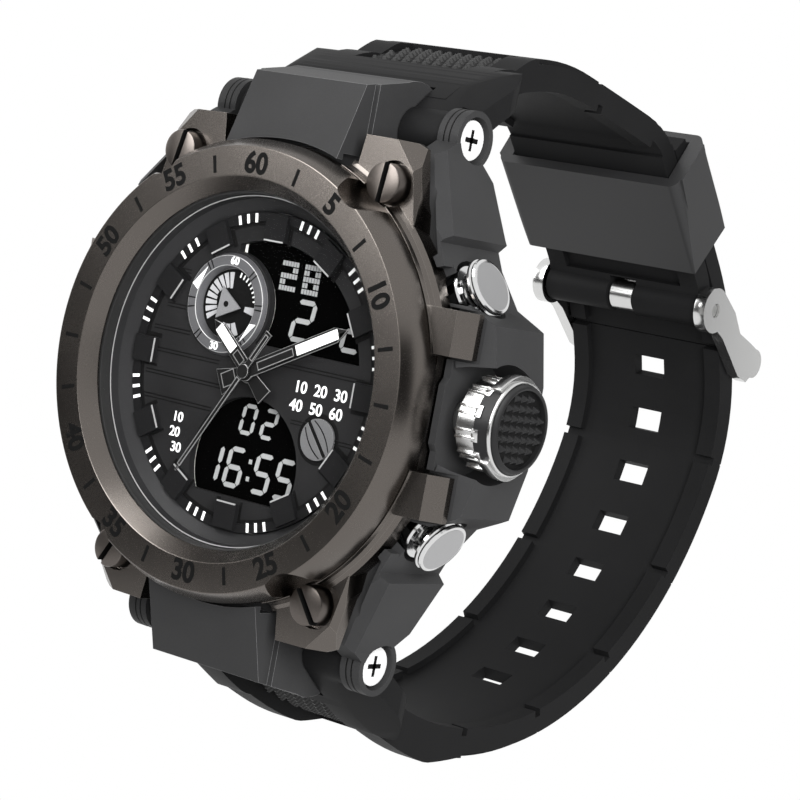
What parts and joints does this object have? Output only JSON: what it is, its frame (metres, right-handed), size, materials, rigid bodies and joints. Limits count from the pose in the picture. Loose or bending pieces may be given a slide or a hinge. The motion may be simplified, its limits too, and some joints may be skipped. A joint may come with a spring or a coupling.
{
  "type": "digital wristwatch",
  "caption": "Round analogue and digital sports watch in a shock-resistant resin case with a screwed metal bezel, push-buttons, crown and a buckled resin strap.",
  "frame": {"origin": "centre of the case back's outer face", "axes": "-Y out of the dial towards the reader, +Z towards 12 o'clock, +X towards the crown at 3 o'clock; the strap loop lies towards +Y"},
  "size_m": [0.0565, 0.0832, 0.0737],
  "materials": {
    "resin": "satin black moulded resin",
    "gunmetal": "brushed and coated gunmetal",
    "crystal_glass": "clear, polished",
    "seal": "matte black sealing rubber",
    "dial_black": "fine-grained black",
    "dial_gray": "satin dark gray",
    "marker_white": "matte white luminous paint",
    "lcd_glass": "glossy black display",
    "zebra": "striped conductive rubber",
    "module_white": "natural moulded plastic",
    "board_green": "solder-masked board",
    "steel": "brushed stainless steel",
    "chrome": "polished chrome",
    "brass": "plain brass",
    "led_body": "moulded lamp body",
    "hand_black": "black coated",
    "strap_resin": "matte black resin",
    "keeper_resin": "satin black resin"
  },
  "bodies": {
    "case": {"case_middle": "resin", "hood_12": "resin", "hood_6": "resin", "bezel_frame": "gunmetal", "bezel_ring": "gunmetal", "bezel_screws": "gunmetal", "crystal": "crystal_glass", "crystal_gasket": "seal", "flange_ring": "dial_black", "hour_ring": "dial_black", "dial_plate": "dial_black", "subdial_ring": "dial_gray", "dial_screw": "dial_gray", "lcd_upper": "lcd_glass", "lcd_lower": "lcd_glass", "zebra_connectors": "zebra", "module_frame": "module_white", "circuit_board": "board_green", "hand_movement": "steel", "battery": "steel", "battery_clip": "brass", "buzzer": "brass", "backlight_led": "led_body", "case_back": "steel", "case_back_gasket": "seal", "case_back_screws": "steel", "pusher_collars": "chrome", "crown_tube": "steel", "lug_bars": "steel", "lug_screws": "chrome"},
    "button_2": {"pusher_2": "chrome", "pusher_spring_2": "steel", "pusher_clip_2": "steel"},
    "button_4": {"pusher_4": "chrome", "pusher_spring_4": "steel", "pusher_clip_4": "steel"},
    "button_8": {"pusher_8": "chrome", "pusher_spring_8": "steel", "pusher_clip_8": "steel"},
    "button_10": {"pusher_10": "chrome", "pusher_spring_10": "steel", "pusher_clip_10": "steel"},
    "crown_slider": {"setting_lever": "steel"},
    "crown": {"crown_head": "chrome", "crown_grip": "seal", "crown_stem": "steel", "crown_gasket": "seal"},
    "hour": {"hour_hand": "hand_black", "hour_lume": "marker_white"},
    "minute": {"minute_hand": "hand_black", "minute_lume": "marker_white"},
    "second": {"second_hand": "hand_black"},
    "rotor": {"subdial_rotor": "dial_gray"},
    "short_half": {"strap_12": "strap_resin", "buckle_bar": "steel", "strap_tail": "strap_resin"},
    "keeper": {"keeper": "keeper_resin"},
    "buckle": {"buckle_frame": "chrome"},
    "tongue": {"buckle_tongue": "chrome"},
    "long_half": {"strap_6": "strap_resin"}
  },
  "joints": [
    {"name": "press_2", "type": "slide", "parent": "case", "child": "button_2", "axis": [-0.8788, 0, -0.4772], "range_m": [0, 0.001], "stiffness_N_per_m": 1500, "springref_m": -0.0008},
    {"name": "press_4", "type": "slide", "parent": "case", "child": "button_4", "axis": [-0.8788, 0, 0.4772], "range_m": [0, 0.001], "stiffness_N_per_m": 1500, "springref_m": -0.0008},
    {"name": "press_8", "type": "slide", "parent": "case", "child": "button_8", "axis": [0.8788, 0, 0.4772], "range_m": [0, 0.001], "stiffness_N_per_m": 1500, "springref_m": -0.0008},
    {"name": "press_10", "type": "slide", "parent": "case", "child": "button_10", "axis": [0.8788, 0, -0.4772], "range_m": [0, 0.001], "stiffness_N_per_m": 1500, "springref_m": -0.0008},
    {"name": "crown_pull", "type": "slide", "parent": "case", "child": "crown_slider", "axis": [1, 0, 0], "range_m": [0, 0.0012]},
    {"name": "crown_turn", "type": "hinge", "parent": "crown_slider", "child": "crown", "pos_m": [0.026, -0.0063, 0], "axis": [1, 0, 0], "continuous": true},
    {"name": "minute_turn", "type": "hinge", "parent": "case", "child": "minute", "pos_m": [0, -0.0118, 0], "axis": [0, 1, 0], "continuous": true},
    {"name": "hour_turn", "type": "hinge", "parent": "case", "child": "hour", "pos_m": [0, -0.0113, 0], "axis": [0, 1, 0], "continuous": true},
    {"name": "second_turn", "type": "hinge", "parent": "case", "child": "second", "pos_m": [0, -0.0122, 0], "axis": [0, 1, 0], "continuous": true},
    {"name": "rotor_turn", "type": "hinge", "parent": "case", "child": "rotor", "pos_m": [-0.0048, -0.0105, 0.006], "axis": [0, 1, 0], "continuous": true},
    {"name": "lug_turn_12", "type": "hinge", "parent": "case", "child": "short_half", "pos_m": [0, -0.0025, 0.0258], "axis": [1, 0, 0], "range_deg": [0, 20]},
    {"name": "lug_turn_6", "type": "hinge", "parent": "case", "child": "long_half", "pos_m": [0, -0.0025, -0.0258], "axis": [1, 0, 0], "range_deg": [-20, 0]},
    {"name": "keeper_slide", "type": "slide", "parent": "short_half", "child": "keeper", "axis": [0, 0.6972, -0.7169], "range_m": [-0.002, 0.002]},
    {"name": "buckle_turn", "type": "hinge", "parent": "short_half", "child": "buckle", "pos_m": [0, 0.05401, 0.01393], "axis": [1, 0, 0], "range_deg": [0, 6]},
    {"name": "tongue_turn", "type": "hinge", "parent": "buckle", "child": "tongue", "pos_m": [0, 0.05401, 0.01393], "axis": [1, 0, 0], "range_deg": [0, 4]}
  ],
  "couplings": [
    {"joint": "hour_turn", "follows": "minute_turn", "ratio": 0.083333}
  ]
}
